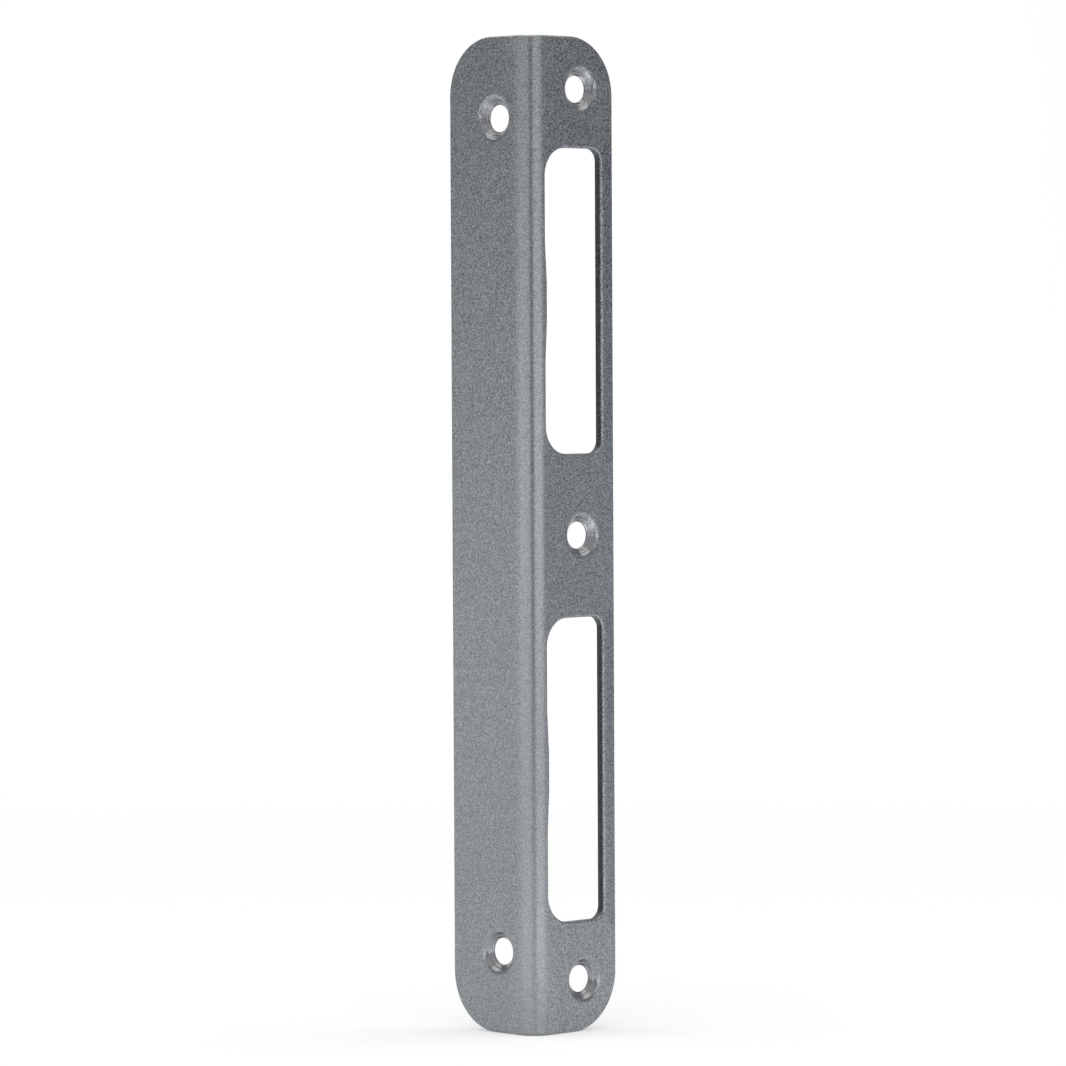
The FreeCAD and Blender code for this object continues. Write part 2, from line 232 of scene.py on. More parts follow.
def window_outline():
    """Upper window, anticlockwise. Three arcs make the swell of its fold-side edge: the swell itself, whose
    centre lies in the metal, and one on each side that leads into it and touches it."""
    near = window_leg_s(CORNER_X + FOLD_OUTER + WINDOW_GAP)
    far = window_leg_s(high.x - WINDOW_RAIL)
    foot = WINDOW_BRIDGE / 2
    top = HALF_LENGTH - WINDOW_END_LAND
    middle = (foot + top) / 2
    reach = math.sqrt(2 * (SWELL_RADIUS + SWELL_BLEND) * SWELL_HEIGHT - SWELL_HEIGHT ** 2)
    turn = math.degrees(math.asin(reach / (SWELL_RADIUS + SWELL_BLEND)))
    big, small = WINDOW_FOLD_CORNER, WINDOW_EDGE_CORNER
    return join(
        arc((far - small, top - small), small, 0, 90, -1),
        arc((near + big, top - big), big, 90, 180, -1),
        arc((near + SWELL_BLEND, middle + reach), SWELL_BLEND, 180, 180 + turn, -1),
        arc((near + SWELL_HEIGHT - SWELL_RADIUS, middle), SWELL_RADIUS, turn, -turn),
        arc((near + SWELL_BLEND, middle - reach), SWELL_BLEND, 180 - turn, 180, -1),
        arc((near + big, foot + big), big, 180, 270, -1),
        arc((far - small, foot + small), small, 270, 360, -1),
    )


outer_edge = plate_outline()
upper_window = window_outline()
lower_window = mirror_outline(upper_window)
print("points: plate", len(outer_edge[0]), "window", len(upper_window[0]))

# %% [markdown]
# ## Edges
#
# A punch doesn't leave a square edge. It first rolls the outer skin over, then shears a smooth land, then
# tears the rest, which leans back a little. An edge is a profile, and each of its rows says how far it
# lies inside the final outline, how deep it lies, and which way it faces. Carrying the profile round an
# outline gives the whole edge as one grid: profile rows by outline points.
#
# The direction is worked out with the place, because flat skins beside tight curves shade well only when
# every corner of every face knows the true direction of the surface.

# %% Grids carried round an outline
ROLL_RADIUS = 0.4 * MM
SHEARED_LAND = 0.45
TEAR_LEAN = 0.03 * MM
BACK_BREAK = 0.06 * MM
ROLL_STEPS = 10
BREAK_STEPS = 5
SHEAR_ONSET = 4


def rows(inset, depth, turn, pressed, sheared):
    """Profile rows. turn is the angle of the surface's direction, from straight out of the skin at zero
    through square to the wall at a quarter turn to straight out of the back at half a turn."""
    values = (inset, depth, np.sin(turn), -np.cos(turn), pressed, sheared)
    return np.stack(np.broadcast_arrays(*values), axis=-1).astype(float)


def punched_profile():
    """Quarter circle from the skin to the wall, a straight sheared land, a torn wall that leans back, and
    a small quarter circle that breaks the edge at the back. The sheared mask grows with a power of the
    turn on the first quarter circle, so most of that keeps the look of the skin."""
    roll = np.linspace(0, math.pi / 2, ROLL_STEPS)
    roll_inset, roll_depth = ROLL_RADIUS * (1 - np.sin(roll)), ROLL_RADIUS * (1 - np.cos(roll))
    tear_start, tear_end = THICKNESS * SHEARED_LAND, THICKNESS - BACK_BREAK
    tear_angle = math.atan(TEAR_LEAN / (tear_end - tear_start))
    back = np.linspace(math.pi / 2 + tear_angle, math.pi, BREAK_STEPS)
    back_inset = TEAR_LEAN + BACK_BREAK * (1 - np.sin(back))
    back_depth = tear_end - BACK_BREAK * np.cos(back)
    return np.concatenate([
        rows(roll_inset, roll_depth, roll, 0, (roll / roll[-1]) ** SHEAR_ONSET),
        rows(np.zeros(1), tear_start, math.pi / 2, 0, 1),
        rows(back_inset, back_depth, back, 0, 1),
    ])


def as_grid(places, facing, edge_map, pressed, sheared):
    """A grid of the blank: its places and directions, its map, and its two finish masks."""
    flat = np.zeros(places.shape[:2])
    masks = {"pressed": pressed + flat, "sheared": sheared + flat}
    return {"places": places, "facing": facing, "map": edge_map, **masks}


def carry(outline, profile):
    """Grid of a profile carried round an outline, with a map of the length along it and the depth.

    A place is the outline's point moved into the metal by the inset, at the profile's depth. A direction
    is the outline's direction to the air and the depth, mixed in the profile's proportion."""
    points, air = outline
    inset, depth, to_air, to_depth, pressed, sheared = (column[:, None] for column in profile.T)
    flat = np.zeros((len(profile), len(points)))
    across, along = points.T[:, None] - air.T[:, None] * inset
    places = np.stack([across, along, depth + flat], axis=-1)
    facing = np.stack([air[:, 0] * to_air, air[:, 1] * to_air, to_depth + flat], axis=-1)
    step = np.linalg.norm(np.roll(points, -1, axis=0) - points, axis=1)
    length = np.concatenate([[0], np.cumsum(step)[:-1]])
    edge_map = np.stack([length + flat, depth + inset + flat], axis=-1)
    return as_grid(places, facing, edge_map, pressed, sheared)


punched = punched_profile()
edge_grids = [carry(outline, punched) for outline in (outer_edge, upper_window, lower_window)]
print("punched edge:", len(punched), "rows on", len(edge_grids), "outlines")

# %% [markdown]
# ## Countersinks
#
# The five screw holes are pressed: the skin dips softly over a rounded rim into a 90 degree cone, and the
# tool leaves fine rings round the cone. A countersink is a surface of revolution, a profile of radius
# and depth turned round the hole's axis. The rings are a sum of sine waves along the cone, square to it.
# They fade at both ends of the cone, and their size changes a little on the way round, as a worn tool's
# do. The straight land below the cone is a second, smaller grid, so that the edge between them is sharp.

# %% Countersunk holes
CONE_LEAN = math.radians(45.0)
CONE_LAND = 0.15 * MM
RIM_RADIUS = 1.2 * MM
AROUND = 128
RIM_STEPS = 12
CONE_STEPS = 54
LAND_BREAK = 0.05 * MM
RING_SWELL = 0.35
RING_DRIFT = 0.6
RING_WAVES = ((0.33 * MM, 0.0085 * MM), (0.21 * MM, 0.0034 * MM), (0.57 * MM, 0.0085 * MM))


def revolve(centre, angle, radius, depth, inward, to_depth, pressed, sheared, run):
    """Grid of a surface of revolution round a hole's axis, rows of the profile by angles. Its map holds the
    length round the hole and the run along the profile."""
    flat = np.zeros(np.broadcast_shapes(radius.shape, angle.shape))
    spoke = np.stack([np.cos(angle) + flat, np.sin(angle) + flat], axis=-1)
    flat_places = np.array(centre) + spoke * (radius + flat)[..., None]
    places = np.concatenate([flat_places, (depth + flat)[..., None]], axis=-1)
    facing = np.concatenate([-spoke * (inward + flat)[..., None], (to_depth + flat)[..., None]], axis=-1)
    edge_map = np.stack([angle * HOLE_RADIUS + flat, run + flat], axis=-1)
    return as_grid(places, facing, edge_map, pressed, sheared)


def countersunk_hole(centre, seed):
    """The pressed grid (rim and cone) and the land's grid of one hole.

    Rim: a circle of the rim radius, turned from the skin to the cone's lean. Cone: a straight run, with
    each place moved along the cone's own direction by the height of the rings, and its direction tilted
    by their slope. Land: the hole's straight wall, with its edge broken at the back."""
    random = np.random.default_rng(seed)
    angle = np.linspace(0, 2 * math.pi, AROUND, endpoint=False)[None, :]
    sine, cosine = math.sin(CONE_LEAN), math.cos(CONE_LEAN)
    cone_depth = THICKNESS - CONE_LAND
    mouth = HOLE_RADIUS + cone_depth * cosine / sine
    rim_start = mouth + RIM_RADIUS * math.tan(CONE_LEAN / 2)
    turn = np.linspace(0, CONE_LEAN, RIM_STEPS)[:, None]
    slant = (rim_start - RIM_RADIUS * sine - HOLE_RADIUS) / cosine
    run = np.linspace(0, slant, CONE_STEPS)[1:, None]
    height, slope = 0, 0
    for length, size in RING_WAVES:
        start, drift, phase = random.uniform(0, 2 * math.pi, 3)
        wave = 2 * math.pi * run / length + start + RING_DRIFT * np.sin(angle + drift)
        level_ends = np.sqrt(np.sin(math.pi * run / slant).clip(0))
        swell = size * (1 + RING_SWELL * np.sin(2 * angle + phase)) * level_ends
        height = height + swell * np.sin(wave)
        slope = slope + swell * 2 * math.pi / length * np.cos(wave)
    tilt = np.sqrt(1 + slope ** 2)
    cone_radius = rim_start - RIM_RADIUS * sine - run * cosine - height * sine
    cone_at = RIM_RADIUS * (1 - cosine) + run * sine - height * cosine
    rim_ones, cone_ones = np.ones((RIM_STEPS, AROUND)), np.ones((CONE_STEPS - 1, AROUND))

    def down(rim, cone):
        """One quantity down the whole profile: its rows on the rim, and then those on the cone."""
        return np.concatenate([rim * rim_ones, cone * cone_ones])

    pressed = revolve(
        centre,
        angle,
        down(rim_start - RIM_RADIUS * np.sin(turn), cone_radius),
        down(RIM_RADIUS * (1 - np.cos(turn)), cone_at),
        down(np.sin(turn), (sine - slope * cosine) / tilt),
        down(-np.cos(turn), -(cosine + slope * sine) / tilt),
        down(turn / CONE_LEAN, 1),
        np.zeros(1),
        down(turn * RIM_RADIUS, CONE_LEAN * RIM_RADIUS + run),
    )
    back = np.linspace(math.pi / 2, math.pi, BREAK_STEPS)[:, None]
    land_radius = np.concatenate([[[HOLE_RADIUS]], HOLE_RADIUS + LAND_BREAK * (1 - np.sin(back))])
    land_depth = np.concatenate([[[cone_depth]], THICKNESS - LAND_BREAK - LAND_BREAK * np.cos(back)])
    land_turn = np.concatenate([[[math.pi / 2]], back])
    land = revolve(
        centre,
        angle,
        land_radius,
        land_depth,
        np.sin(land_turn),
        -np.cos(land_turn),
        np.zeros(1),
        np.ones(1),
        land_depth,
    )
    return pressed, land


window_leg_line, plain_leg_line = window_leg_s(WINDOW_LEG_HOLE_X), plain_leg_s(PLAIN_LEG_HOLE_Y)
centres = [(window_leg_line, z) for z in (WINDOW_LEG_HOLE_Z, 0, -WINDOW_LEG_HOLE_Z)]
centres += [(plain_leg_line, z) for z in (PLAIN_LEG_HOLE_Z, -PLAIN_LEG_HOLE_Z)]
hole_grids = [countersunk_hole(centre, seed) for seed, centre in enumerate(centres)]
print("countersink:", hole_grids[0][0]["places"].shape[:2], "land:", hole_grids[0][1]["places"].shape[:2])

# %% [markdown]
# ## Skins
#
# Between the edges lie the two skins, the outer one and the one that seats on the frame. They are flat in
# the blank, so their triangles can be worked out there: a constrained triangulation keeps every outline's
# edge, and lines along the fold keep each triangle between two of them, so none cuts across the curve.
# Triangles whose middle falls in a window, in a hole or outside the plate are dropped.

# %% The outer and the inner skin
TRIANGLE_TOLERANCE = 1e-9


def inside(places, outline):
    """True for places inside a closed outline: a ray to the right crosses it an odd number of times."""
    start, end = outline, np.roll(outline, -1, axis=0)
    x, y = places[:, 0, None], places[:, 1, None]
    spans = (start[:, 1] > y) != (end[:, 1] > y)
    rise = np.where(end[:, 1] == start[:, 1], 1, end[:, 1] - start[:, 1])
    crossing = start[:, 0] + (y - start[:, 1]) / rise * (end[:, 0] - start[:, 0])
    return (spans & (x < crossing)).sum(axis=1) % 2 == 1


def ring_edges(start, count):
    """Pairs of point numbers round a closed outline whose first point has the number start."""
    number = start + np.arange(count)
    return np.stack([number, np.roll(number, -1)], axis=1)


def skin(outlines, depth, to_depth):
    """Triangles of one skin, at one depth. The first outline is the plate's, and the others are openings.

    The fold's lines join the points where the plate's top edge crosses the fold to those of its foot."""
    points = np.concatenate(outlines)
    starts = np.cumsum([0] + [len(outline) for outline in outlines])
    edges = [ring_edges(start, len(outline)) for start, outline in zip(starts, outlines)]
    crossing = np.flatnonzero(np.abs(outlines[0][:, 0]) < FOLD_REACH + SAME_PLACE)
    top, foot = crossing[outlines[0][crossing, 1] > 0], crossing[outlines[0][crossing, 1] < 0]
    edges.append(np.stack([top, foot[::-1]], axis=1))
    pairs = np.concatenate(edges).tolist()
    made = delaunay_2d_cdt(points.tolist(), pairs, [], 0, TRIANGLE_TOLERANCE)
    faces, origins = made[2], made[3]
    triangles = np.array([first[0] for first in origins])[np.array(faces)]
    middle = points[triangles].mean(axis=1)
    metal = inside(middle, outlines[0])
    for opening in outlines[1:]:
        metal &= ~inside(middle, opening)
    flat = np.zeros(len(points))
    facing = np.stack([flat, flat, flat + to_depth], axis=-1)
    places = np.concatenate([points, (flat + depth)[:, None]], axis=-1)
    masks = {"pressed": flat, "sheared": flat}
    return {"places": places, "facing": facing, "map": points, "faces": triangles[metal], **masks}


outer_rings = edge_grids + [cone for cone, land in hole_grids]
inner_rings = edge_grids + [land for cone, land in hole_grids]
outer_skin = skin([grid["places"][0, :, :2] for grid in outer_rings], 0, -1)
inner_skin = skin([grid["places"][-1, :, :2] for grid in inner_rings], THICKNESS, 1)
print("skin triangles:", len(outer_skin["faces"]), "outside,", len(inner_skin["faces"]), "inside")

# %% [markdown]
# ## One closed piece
#
# Grids and skins become one mesh. Grids get four-sided faces that join the last point of each row to the
# first. Everything is folded, places that meet are welded, and each face that looks the wrong way is
# turned round. Each corner of each face keeps the direction that its own grid gave it, so a weld between
# two grids can still be a sharp edge. The mesh also carries the two finish masks, and a map of the sheet
# in which the finish can follow an edge or go round a hole.

# %% Mesh helpers
WELD = 1e-8


def grid_faces(shape):
    """Four-sided faces of a grid whose rows are closed rings."""
    height, width = shape
    number = np.arange(height * width).reshape(height, width)
    beside = np.roll(number, -1, axis=1)
    return np.stack([number[:-1], number[1:], beside[1:], beside[:-1]], axis=-1).reshape(-1, 4)


def outward_faces(places, facing, faces):
    """The faces, with those turned round whose own direction is against the direction of their corners."""
    across = places[faces[:, 2]] - places[faces[:, 0]]
    other = places[faces[:, -1]] - places[faces[:, 1]]
    own = np.cross(across, other)
    wrong = (own * facing[faces].sum(axis=1)).sum(axis=1) < 0
    return np.where(wrong[:, None], faces[:, ::-1], faces)


def sheet_mesh(name, parts):
    """One mesh from parts of the blank, folded and welded, with corner directions, masks and the map."""
    places, corners, totals, facing, pressed, sheared, maps = [], [], [], [], [], [], []
    count = 0
    for part in parts:
        faces = part.get("faces")
        if faces is None:
            faces = grid_faces(part["places"].shape[:2])
        blank = part["places"].reshape(-1, 3)
        folded = fold(blank)
        turned = fold_normals(blank[:, 0], part["facing"].reshape(-1, 3))
        faces = outward_faces(folded, turned, faces)
        corner = faces.ravel()
        places.append(folded)
        corners.append(corner + count)
        totals.append(np.full(len(faces), faces.shape[1]))
        facing.append(turned[corner])
        pressed.append(part["pressed"].ravel()[corner])
        sheared.append(part["sheared"].ravel()[corner])
        maps.append(part["map"].reshape(-1, 2)[corner])
        count += len(folded)
    places, corners, totals = np.concatenate(places), np.concatenate(corners), np.concatenate(totals)
    welded, weld = np.unique(np.round(places / WELD).astype(np.int64), axis=0, return_inverse=True)
    mesh = bpy.data.meshes.new(name)
    mesh.vertices.add(len(welded))
    mesh.vertices.foreach_set("co", (welded * WELD).ravel())
    mesh.loops.add(len(corners))
    mesh.loops.foreach_set("vertex_index", weld.ravel()[corners])
    mesh.polygons.add(len(totals))
    mesh.polygons.foreach_set("loop_start", np.concatenate([[0], np.cumsum(totals)[:-1]]))
    mesh.update(calc_edges=True)
    for title, values in (("pressed", pressed), ("sheared", sheared)):
        mesh.attributes.new(title, "FLOAT", "CORNER").data.foreach_set("value", np.concatenate(values))
    mesh.uv_layers.new(name="sheet").data.foreach_set("uv", np.concatenate(maps).ravel())
    mesh.normals_split_custom_set(np.concatenate(facing).tolist())
    return mesh


# %% The plate's mesh
pieces = edge_grids + [grid for hole in hole_grids for grid in hole] + [outer_skin, inner_skin]
plate = bpy.data.objects.new("zinc_plate", sheet_mesh("zinc_plate", pieces))
bpy.context.scene.collection.objects.link(plate)
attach(plate, "root")
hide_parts(NODE)


def count_open_edges(mesh):
    """Edges that don't have exactly two faces."""
    edge = np.zeros(len(mesh.loops), np.int64)
    mesh.loops.foreach_get("edge_index", edge)
    return int((np.bincount(edge, minlength=len(mesh.edges)) != 2).sum())


print("vertices", len(plate.data.vertices), "faces", len(plate.data.polygons))
print("open edges", count_open_edges(plate.data))

# %% [markdown]
# ## Zinc
#
# The coat is bright zinc that has gone matt: a pale grey metal with a very fine grain of crystals. Seen
# close, each crystal lies a little differently, so one looks lighter and its neighbour darker. A cell
# pattern gives every crystal a shade and a tilt of its own, and a cloud pattern ties groups of them
# together. Both read object coordinates, so the grain has the same size everywhere on the plate. Its
# strength differs. The plate hangs in the bath by its top, so the grain is strong there and weak at the
# foot, and the die that folds the sheet smooths it along the fold, less so towards the window leg.
#
# The material is built from nodes, and most of them are small sums. A few helpers keep those readable.

# %% Helpers for nodes
MIDDLE = 0.5


def add_node(tree, kind, inputs=(), **settings):
    """A node of a kind. Each input is a plain value or the output of another node."""
    made = tree.nodes.new(kind)
    for name, value in settings.items():
        setattr(made, name, value)
    for name, value in dict(inputs).items():
        if isinstance(value, bpy.types.NodeSocket):
            tree.links.new(value, made.inputs[name])
        else:
            made.inputs[name].default_value = value
    return made


def math_node(tree, operation, first, second):
    """Result of one step of arithmetic."""
    return add_node(tree, "ShaderNodeMath", {0: first, 1: second}, operation=operation).outputs[0]


def times(tree, first, second):
    """Product of two values."""
    return math_node(tree, "MULTIPLY", first, second)


def plus(tree, first, second):
    """Sum of two values."""
    return math_node(tree, "ADD", first, second)


def unsigned(tree, value):
    """A value without its sign."""
    return math_node(tree, "ABSOLUTE", value, 0)


def swing(tree, pattern, size):
    """A pattern that runs from zero to one, moved to swing round zero, times a size."""
    return times(tree, math_node(tree, "SUBTRACT", pattern, MIDDLE), size)


def between(tree, share, first, second):
    """Value between first and second, by the share of the second."""
    return add_node(tree, "ShaderNodeMix", {"Factor": share, "A": first, "B": second}).outputs["Result"]


def fade(tree, value, start, end, before=0.0, after=1.0):
    """Soft step of a value: before up to the start, after from the end on."""
    limits = {"Value": value, "From Min": start, "From Max": end, "To Min": before, "To Max": after}
    return add_node(tree, "ShaderNodeMapRange", limits, interpolation_type="SMOOTHSTEP").outputs[0]


def vector_node(tree, operation, inputs):
    """The node of one step of arithmetic on vectors."""
    return add_node(tree, "ShaderNodeVectorMath", inputs, operation=operation)


# %% Grain of the zinc
CRYSTAL_SIZE = 0.18 * MM
CLOUD_SIZE = 0.3 * MM
CLOUD_DETAIL = 1.0
CELL_SHARE = 0.9
CLOUD_SHARE = 0.9
GRAIN_AT_FOOT, GRAIN_AT_TOP = 0.68, 1.12
GRAIN_IN_FOLD = 0.6
GRAIN_OF_PLAIN_LEG = 1.05
GRAIN_OF_WINDOW_LEG = 1.2
DIE_REACH = (2.2 * MM, 4.5 * MM)

zinc = bpy.data.materials.new("matt_zinc")
zinc.use_nodes = True
metal = zinc.node_tree
here = add_node(metal, "ShaderNodeTexCoord").outputs["Object"]
cells = add_node(metal, "ShaderNodeTexVoronoi", {"Vector": here, "Scale": 1 / CRYSTAL_SIZE})
crystals = cells.outputs["Color"]
crystal_shade = add_node(metal, "ShaderNodeSeparateColor", {"Color": crystals}).outputs["Red"]
cloud_inputs = {"Vector": here, "Scale": 1 / CLOUD_SIZE, "Detail": CLOUD_DETAIL}
clouds = add_node(metal, "ShaderNodeTexNoise", cloud_inputs)
cloud_shade = swing(metal, clouds.outputs["Fac"], CLOUD_SHARE)
grain = plus(metal, swing(metal, crystal_shade, CELL_SHARE), cloud_shade)
coordinate = add_node(metal, "ShaderNodeSeparateXYZ", {"Vector": here}).outputs
grain_at_height = fade(metal, coordinate["Z"], -HALF_LENGTH, HALF_LENGTH, GRAIN_AT_FOOT, GRAIN_AT_TOP)
from_plain = math_node(metal, "SUBTRACT", coordinate["X"], CORNER_X)
from_window = math_node(metal, "SUBTRACT", coordinate["Y"], CORNER_Y)
on_plain = fade(metal, from_window, *DIE_REACH, GRAIN_IN_FOLD, GRAIN_OF_PLAIN_LEG)
on_window = fade(metal, from_plain, *DIE_REACH, 0.0, GRAIN_OF_WINDOW_LEG - GRAIN_IN_FOLD)
grain_here = times(metal, grain_at_height, plus(metal, on_plain, on_window))
print(f"crystals of {CRYSTAL_SIZE / MM:.2f} mm in clouds of {CLOUD_SIZE / MM:.2f} mm")

# %% [markdown]
# ## Pressed and punched places
#
# The tool that presses a countersink slides on the coat and polishes it, so there the grain is weaker, the
# metal is smoother and fine scratches run round the hole. A punch tears its edge, so an edge is rougher,
# with scratches that run straight through the sheet, and darker: partly the torn steel's own tone, partly
# painted shade for the shade in which the wall of an edge lies. Both kinds of scratch are a cloud pattern
# on the plate's own map, stretched a lot more one way than the other. The masks in the mesh say where each
# belongs.
# The narrow rail beside a window is painted a shade darker: this is painted shade, for the darker light
# that the rail catches.

# %% Scratches
RAIL_SHADE_ROUND = 0.8 * MM
RAIL_SHADE_END = 2.5 * MM
RING_STRETCH = (350, 6500, 1)
TEAR_STRETCH = (5200, 500, 1)
RING_DEPTH = 1.4
TEAR_DEPTH = 0.9
SCRATCH_DETAIL = 2.0
GRAIN_LEFT_BY_PRESS = 0.45
# Darkness of torn edges: partly the steel's own tone, partly painted shade for the shade on the wall.
TEAR_TONE_AND_PAINTED_SHADE = 0.42


def scratches(stretch, mask, depth):
    """Shade of scratches along one direction of the plate's map, as deep as the mask allows."""
    stretched = add_node(metal, "ShaderNodeMapping", {"Vector": sheet_map, "Scale": stretch})
    pattern_inputs = {"Vector": stretched.outputs["Vector"], "Scale": 1.0, "Detail": SCRATCH_DETAIL}
    pattern = add_node(metal, "ShaderNodeTexNoise", pattern_inputs)
    return swing(metal, pattern.outputs["Fac"], times(metal, mask, depth))


pressed_mask = add_node(metal, "ShaderNodeAttribute", attribute_name="pressed").outputs["Fac"]
sheared_mask = add_node(metal, "ShaderNodeAttribute", attribute_name="sheared").outputs["Fac"]
sheet_map = add_node(metal, "ShaderNodeUVMap", uv_map="sheet").outputs["UV"]
grain_left = times(metal, grain_here, between(metal, pressed_mask, 1.0, GRAIN_LEFT_BY_PRESS))
rings = scratches(RING_STRETCH, pressed_mask, RING_DEPTH)
tears = scratches(TEAR_STRETCH, sheared_mask, TEAR_DEPTH)
shade = plus(metal, times(metal, grain, grain_left), plus(metal, rings, tears))
# The torn edge is darkened here: partly its own tone, partly painted shade.
brightness = times(metal, plus(metal, shade, 1.0), between(metal, sheared_mask, 1.0, TEAR_TONE_AND_PAINTED_SHADE))

# Painted shade: a mask darkens the colour of the rail beside each window, from past its rounded edge.
rail_shade_start = high.x - WINDOW_RAIL + ROLL_RADIUS
window_middle = (WINDOW_BRIDGE / 2 + HALF_LENGTH - WINDOW_END_LAND) / 2
window_half = HALF_LENGTH - WINDOW_END_LAND - window_middle
past_middle = math_node(metal, "SUBTRACT", unsigned(metal, coordinate["Z"]), window_middle)
from_middle = unsigned(metal, past_middle)
beside_window = fade(metal, from_middle, window_half, window_half + RAIL_SHADE_END, 1.0, 0.0)
painted_rail_shade = times(metal, fade(metal, coordinate["X"], rail_shade_start, rail_shade_start + RAIL_SHADE_ROUND), beside_window)
print("masks:", [mask.name for mask in plate.data.attributes if mask.data_type == "FLOAT"])

# %% [markdown]
# ## Colour, roughness and tilt
#
# Zinc shows a slightly blue grey, a little brighter where it is pressed. The rails get a darker colour,
# which is painted shade. A metal has no colour but that of its reflection, so the shade of the grain
# multiplies the colour. Each crystal also leans its own way, which is why it flashes when the plate is
# turned: its cell colour, moved to swing round zero, is added to the surface's direction. A weak bump gives
# the scratches an edge that catches the light.

# %% The zinc's shader
ZINC_COLOUR = (0.2655, 0.2875, 0.304, 1)
# Painted shade: the rails' darker colour stands in for the darker light that they catch.
RAIL_PAINTED_SHADE_COLOUR = (0.217, 0.246, 0.267, 1)
PRESSED_COLOUR = (0.284, 0.295, 0.317, 1)
FLAT_ROUGHNESS = 0.27
PRESSED_ROUGHNESS = 0.18
SHEARED_ROUGHNESS = 0.45
CLOUD_ROUGHNESS = 0.15
CRYSTAL_TILT = 0.022
BUMP_STRENGTH = 0.13
BUMP_HEIGHT = 0.02 * MM

shader = metal.nodes["Principled BSDF"]
shader.inputs["Metallic"].default_value = 1
flat_inputs = {"Fac": painted_rail_shade, "Color1": ZINC_COLOUR, "Color2": RAIL_PAINTED_SHADE_COLOUR}
coat_with_painted_rail_shade = add_node(metal, "ShaderNodeMixRGB", flat_inputs).outputs[0]
coat_inputs = {"Fac": pressed_mask, "Color1": coat_with_painted_rail_shade, "Color2": PRESSED_COLOUR}
coat = add_node(metal, "ShaderNodeMixRGB", coat_inputs).outputs[0]
colour = vector_node(metal, "SCALE", {0: coat, "Scale": brightness}).outputs["Vector"]
metal.links.new(colour, shader.inputs["Base Color"])
skin_roughness = between(metal, pressed_mask, FLAT_ROUGHNESS, PRESSED_ROUGHNESS)
mean_roughness = between(metal, sheared_mask, skin_roughness, SHEARED_ROUGHNESS)
roughness = plus(metal, mean_roughness, times(metal, cloud_shade, CLOUD_ROUGHNESS))
metal.links.new(roughness, shader.inputs["Roughness"])

surface = add_node(metal, "ShaderNodeNewGeometry").outputs["Normal"]
cell_lean = vector_node(metal, "SUBTRACT", {0: crystals, 1: (MIDDLE, MIDDLE, MIDDLE)}).outputs["Vector"]
tilt_here = times(metal, grain_left, CRYSTAL_TILT)
lean = vector_node(metal, "SCALE", {0: cell_lean, "Scale": tilt_here}).outputs["Vector"]
tilted = vector_node(metal, "ADD", {0: surface, 1: lean}).outputs["Vector"]
leaning = vector_node(metal, "NORMALIZE", {0: tilted}).outputs["Vector"]
bump_inputs = {"Height": shade, "Strength": BUMP_STRENGTH, "Distance": BUMP_HEIGHT, "Normal": leaning}
bump = add_node(metal, "ShaderNodeBump", bump_inputs).outputs["Normal"]
metal.links.new(bump, shader.inputs["Normal"])
plate.data.materials.append(zinc)
print("zinc nodes:", len(metal.nodes))

# %% [markdown]
# ## Camera
#
# The picture is taken from far away, almost level with the plate's middle and looking into the corner of
# the fold. The camera is therefore placed from the fold's corner: so far back along one direction, with a
# long lens, and aimed a hair off the corner. Its numbers were found by laying the plate's outline over the
# picture's, in pixels of the square picture.

# %% Camera
PICTURE_SIZE = 1066
FOCUS_IN_PIXELS = 5512.9
CORNER_PIXEL = (532.06, 537.43)
CAMERA_DISTANCE = 0.9336
CAMERA_AZIMUTH = math.radians(44.373)
CAMERA_ELEVATION = math.radians(2.141)
CAMERA_ROLL = math.radians(-0.285)
SENSOR_WIDTH = 36.0
NEAREST, FURTHEST = 0.05, 20
UPRIGHT = Vector((0, 0, 1))


def direction(azimuth, elevation):
    """Direction from the plate towards something at an azimuth and an elevation. Azimuth zero is in front
    of the window leg, and it grows towards the front of the plain leg."""
    level = math.cos(elevation)
    return Vector((-math.sin(azimuth) * level, -math.cos(azimuth) * level, math.sin(elevation)))


def aimed(eye, target, upward):
    """Matrix of a camera or lamp at a place that looks at a target, with its top towards a direction."""
    back = (eye - target).normalized()
    side = upward.cross(back).normalized()
    turn = Matrix((side, back.cross(side), back)).transposed()
    return Matrix.Translation(eye) @ turn.to_4x4()


fold_corner = Vector((CORNER_X, CORNER_Y, 0))
to_camera = direction(CAMERA_AZIMUTH, CAMERA_ELEVATION)
level_side = UPRIGHT.cross(to_camera).normalized()
level_top = to_camera.cross(level_side)
picture_side = level_side * math.cos(CAMERA_ROLL) + level_top * math.sin(CAMERA_ROLL)
picture_top = level_top * math.cos(CAMERA_ROLL) - level_side * math.sin(CAMERA_ROLL)
pixel = CAMERA_DISTANCE / FOCUS_IN_PIXELS
off_side = (PICTURE_SIZE / 2 - CORNER_PIXEL[0]) * pixel
off_top = (CORNER_PIXEL[1] - PICTURE_SIZE / 2) * pixel
aim = fold_corner + picture_side * off_side + picture_top * off_top

lens = bpy.data.cameras.new("camera")
lens.sensor_width = SENSOR_WIDTH
lens.lens = FOCUS_IN_PIXELS / PICTURE_SIZE * SENSOR_WIDTH
lens.clip_start, lens.clip_end = NEAREST, FURTHEST
camera = bpy.data.objects.new("camera", lens)
camera.matrix_world = aimed(fold_corner + to_camera * CAMERA_DISTANCE, aim, picture_top)
bpy.context.scene.collection.objects.link(camera)
bpy.context.scene.camera = camera
print(f"lens {lens.lens:.1f} mm, aimed {(aim - fold_corner).length / MM:.2f} mm off the corner")

# %% [markdown]
# ## Sweep
#
# The plate stands on a sheet of white paper that runs flat under it and curves up behind it. The paper is
# one profile, swept sideways. Its wall is tall, because the lower side of a countersink looks up and back,
# and would show the end of a lower wall.

